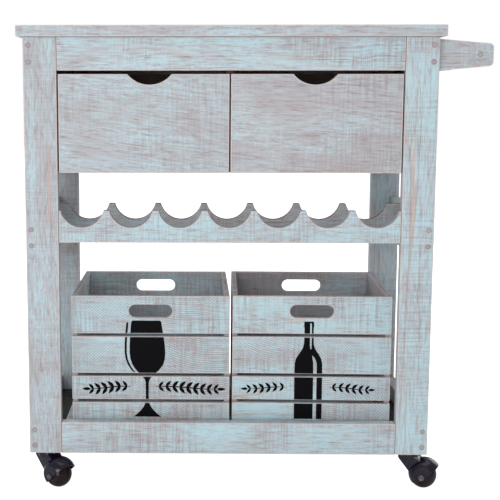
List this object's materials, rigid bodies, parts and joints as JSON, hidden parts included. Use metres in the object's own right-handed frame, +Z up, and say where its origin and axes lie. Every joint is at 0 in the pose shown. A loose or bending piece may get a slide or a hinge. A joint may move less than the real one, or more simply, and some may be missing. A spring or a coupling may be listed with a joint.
{
  "type": "bar cart",
  "caption": "Whitewashed wooden bar cart on ball casters, with drawers, a scalloped bottle rack, a slatted shelf with lift-out crates and a push handle at one end.",
  "frame": {"origin": "on the floor, at the middle of the cart's outline with its handle", "axes": "+X to the right along the front, towards the handle; +Y from the front to the back; +Z up"},
  "size_m": [0.858, 0.4244, 0.859],
  "materials": {
    "painted_wood": "brushed light blue wash over brown wood, matte",
    "washed_wood": "thin grey-mauve wash over brown wood, matte",
    "inner_wood": "raw and thinly washed wood, matte",
    "hood_plastic": "black, satin gloss",
    "ball_plastic": "very dark brown, glossy",
    "zinc_steel": "zinc plated"
  },
  "bodies": {
    "cart": {"leg_front_left": "painted_wood", "leg_front_right": "painted_wood", "leg_back_left": "painted_wood", "leg_back_right": "painted_wood", "screw_plugs": "inner_wood", "worktop": "painted_wood", "apron_front": "painted_wood", "apron_back": "painted_wood", "apron_left": "painted_wood", "apron_right": "painted_wood", "back_panel": "inner_wood", "side_panel_left": "painted_wood", "side_panel_right": "painted_wood", "drawer_divider": "inner_wood", "drawer_runners": "inner_wood", "rack_rail_front": "painted_wood", "rack_rail_rear": "painted_wood", "rack_side_left": "painted_wood", "rack_side_right": "painted_wood", "base_rail_front": "painted_wood", "base_rail_back": "painted_wood", "base_rail_left": "painted_wood", "base_rail_right": "painted_wood", "shelf_cleats": "inner_wood", "shelf_slats": "washed_wood", "corner_blocks": "inner_wood", "handle_arm_front": "washed_wood", "handle_arm_back": "washed_wood", "handle_bar": "washed_wood", "caster_plates": "zinc_steel", "caster_screws": "zinc_steel"},
    "drawer_left": {"drawer_left_front": "washed_wood", "drawer_left_sides": "inner_wood", "drawer_left_back": "inner_wood", "drawer_left_bottom": "inner_wood"},
    "drawer_right": {"drawer_right_front": "washed_wood", "drawer_right_sides": "inner_wood", "drawer_right_back": "inner_wood", "drawer_right_bottom": "inner_wood"},
    "crate_left": {"crate_left_front": "painted_wood", "crate_left_sides": "painted_wood", "crate_left_back": "painted_wood", "crate_left_bottom": "painted_wood"},
    "crate_right": {"crate_right_front": "painted_wood", "crate_right_sides": "painted_wood", "crate_right_back": "painted_wood", "crate_right_bottom": "painted_wood"},
    "swivel_front_left": {"caster_hood_front_left": "hood_plastic", "caster_axle_front_left": "zinc_steel"},
    "wheel_front_left": {"caster_ball_front_left": "ball_plastic"},
    "swivel_front_right": {"caster_hood_front_right": "hood_plastic", "caster_axle_front_right": "zinc_steel"},
    "wheel_front_right": {"caster_ball_front_right": "ball_plastic"},
    "swivel_back_left": {"caster_hood_back_left": "hood_plastic", "caster_axle_back_left": "zinc_steel"},
    "wheel_back_left": {"caster_ball_back_left": "ball_plastic"},
    "swivel_back_right": {"caster_hood_back_right": "hood_plastic", "caster_axle_back_right": "zinc_steel"},
    "wheel_back_right": {"caster_ball_back_right": "ball_plastic"}
  },
  "joints": [
    {"name": "drawer_left_slide", "type": "slide", "parent": "cart", "child": "drawer_left", "axis": [0, -1, 0], "range_m": [0, 0.25]},
    {"name": "drawer_right_slide", "type": "slide", "parent": "cart", "child": "drawer_right", "axis": [0, -1, 0], "range_m": [0, 0.25]},
    {"name": "crate_left_lift", "type": "slide", "parent": "cart", "child": "crate_left", "axis": [0, 0, 1], "range_m": [0, 0.1]},
    {"name": "crate_right_lift", "type": "slide", "parent": "cart", "child": "crate_right", "axis": [0, 0, 1], "range_m": [0, 0.1]},
    {"name": "swivel_front_left_turn", "type": "hinge", "parent": "cart", "child": "swivel_front_left", "pos_m": [-0.388, -0.164, 0.0611], "axis": [0, 0, 1], "continuous": true},
    {"name": "wheel_front_left_spin", "type": "hinge", "parent": "swivel_front_left", "child": "wheel_front_left", "pos_m": [-0.36524, -0.18115, 0.025], "axis": [0.6018, 0.7986, 0], "continuous": true},
    {"name": "swivel_front_right_turn", "type": "hinge", "parent": "cart", "child": "swivel_front_right", "pos_m": [0.298, -0.164, 0.0611], "axis": [0, 0, 1], "continuous": true},
    {"name": "wheel_front_right_spin", "type": "hinge", "parent": "swivel_front_right", "child": "wheel_front_right", "pos_m": [0.32495, -0.17328, 0.025], "axis": [0.3256, 0.9455, 0], "continuous": true},
    {"name": "swivel_back_left_turn", "type": "hinge", "parent": "cart", "child": "swivel_back_left", "pos_m": [-0.388, 0.164, 0.0611], "axis": [0, 0, 1], "continuous": true},
    {"name": "wheel_back_left_spin", "type": "hinge", "parent": "swivel_back_left", "child": "wheel_back_left", "pos_m": [-0.36524, 0.18115, 0.025], "axis": [-0.6018, 0.7986, 0], "continuous": true},
    {"name": "swivel_back_right_turn", "type": "hinge", "parent": "cart", "child": "swivel_back_right", "pos_m": [0.298, 0.164, 0.0611], "axis": [0, 0, 1], "continuous": true},
    {"name": "wheel_back_right_spin", "type": "hinge", "parent": "swivel_back_right", "child": "wheel_back_right", "pos_m": [0.32495, 0.17328, 0.025], "axis": [-0.3256, 0.9455, 0], "continuous": true}
  ]
}
